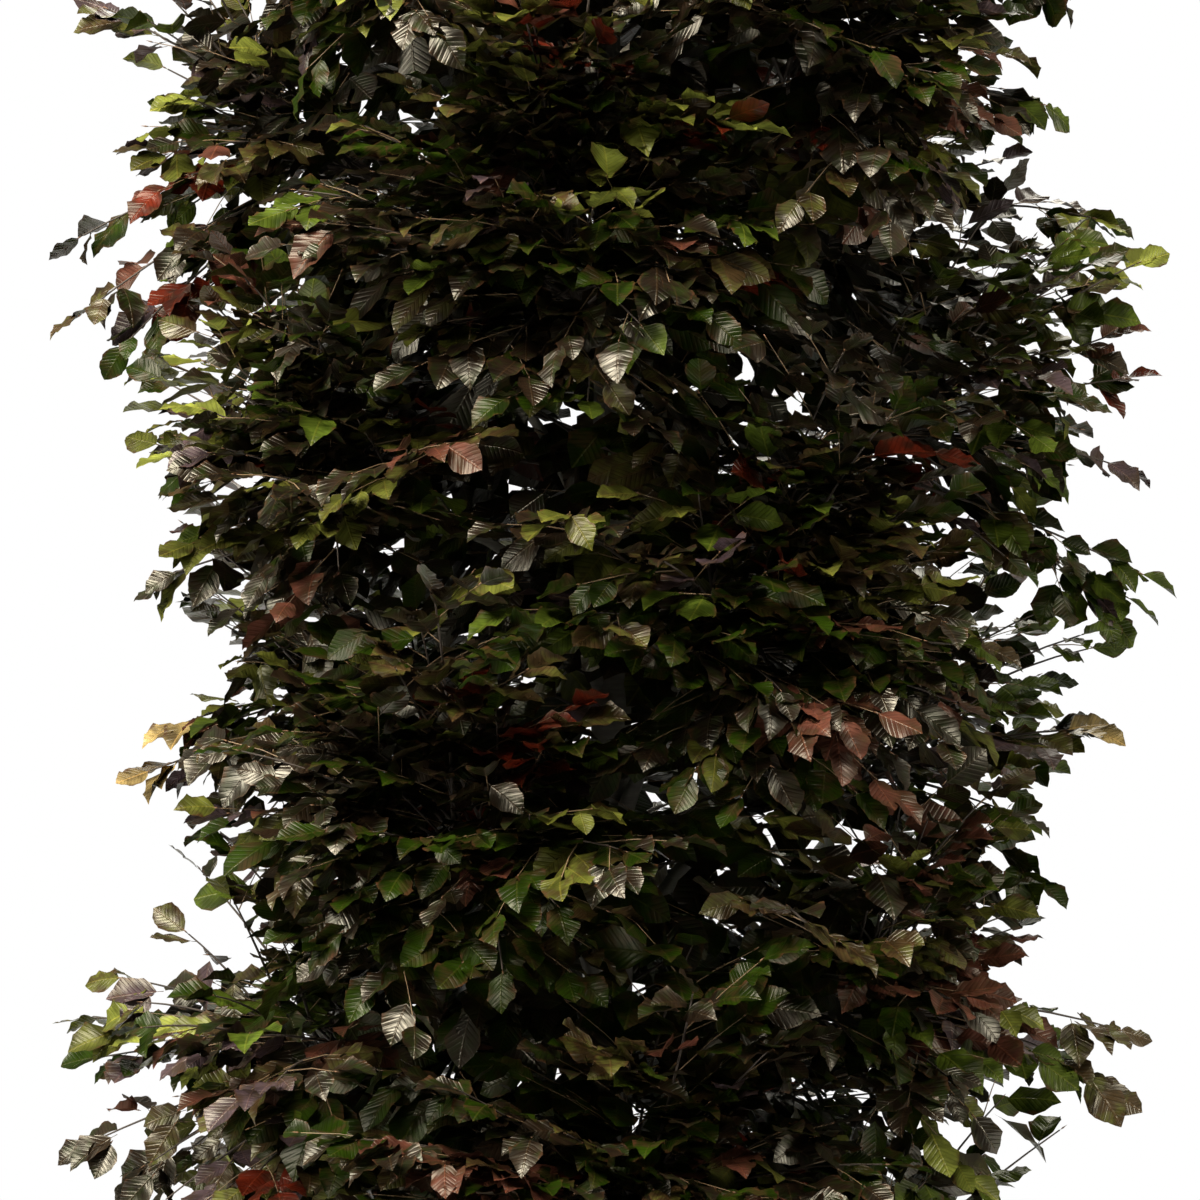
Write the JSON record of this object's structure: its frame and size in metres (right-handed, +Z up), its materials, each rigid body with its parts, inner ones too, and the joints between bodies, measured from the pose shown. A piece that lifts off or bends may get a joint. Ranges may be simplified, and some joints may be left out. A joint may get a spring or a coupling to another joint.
{
  "type": "columnar copper beech tree",
  "caption": "Dense columnar copper beech with a straight tapering trunk, rising boughs and masses of broad dark leaves, rooted in level ground.",
  "frame": {"origin": "middle of the flat cut under the trunk, at ground level", "axes": "+Z up the trunk, +X to the right of the crown as seen from its front, which faces -Y"},
  "size_m": [1.6067, 1.452, 3.79],
  "materials": {
    "bark": "smooth grey beech bark with fine horizontal creases",
    "copper_leaves": "dark purple-brown leaves, softly glossy, with a few olive, green and coppery ones"
  },
  "bodies": {
    "root": {"trunk": "bark", "bough_01": "bark", "bough_02": "bark", "bough_03": "bark", "bough_04": "bark", "bough_05": "bark", "bough_06": "bark", "bough_07": "bark", "bough_08": "bark", "bough_09": "bark", "bough_10": "bark", "bough_11": "bark", "bough_12": "bark", "bough_13": "bark", "bough_14": "bark", "bough_15": "bark", "bough_16": "bark", "bough_17": "bark", "bough_18": "bark", "bough_19": "bark", "bough_20": "bark", "bough_21": "bark", "bough_22": "bark", "bough_23": "bark", "bough_24": "bark", "bough_25": "bark", "bough_26": "bark", "bough_27": "bark", "bough_28": "bark", "foliage_01": "copper_leaves", "foliage_02": "copper_leaves", "foliage_03": "copper_leaves", "foliage_04": "copper_leaves", "foliage_05": "copper_leaves", "foliage_06": "copper_leaves", "foliage_07": "copper_leaves", "foliage_08": "copper_leaves", "foliage_09": "copper_leaves", "foliage_10": "copper_leaves", "foliage_11": "copper_leaves", "foliage_12": "copper_leaves", "foliage_13": "copper_leaves", "foliage_14": "copper_leaves", "foliage_15": "copper_leaves", "foliage_16": "copper_leaves", "foliage_17": "copper_leaves", "foliage_18": "copper_leaves", "foliage_19": "copper_leaves", "foliage_20": "copper_leaves", "foliage_21": "copper_leaves", "foliage_22": "copper_leaves", "foliage_23": "copper_leaves", "foliage_24": "copper_leaves", "foliage_25": "copper_leaves", "foliage_26": "copper_leaves", "foliage_27": "copper_leaves", "foliage_28": "copper_leaves", "foliage_top": "copper_leaves"}
  },
  "joints": []
}
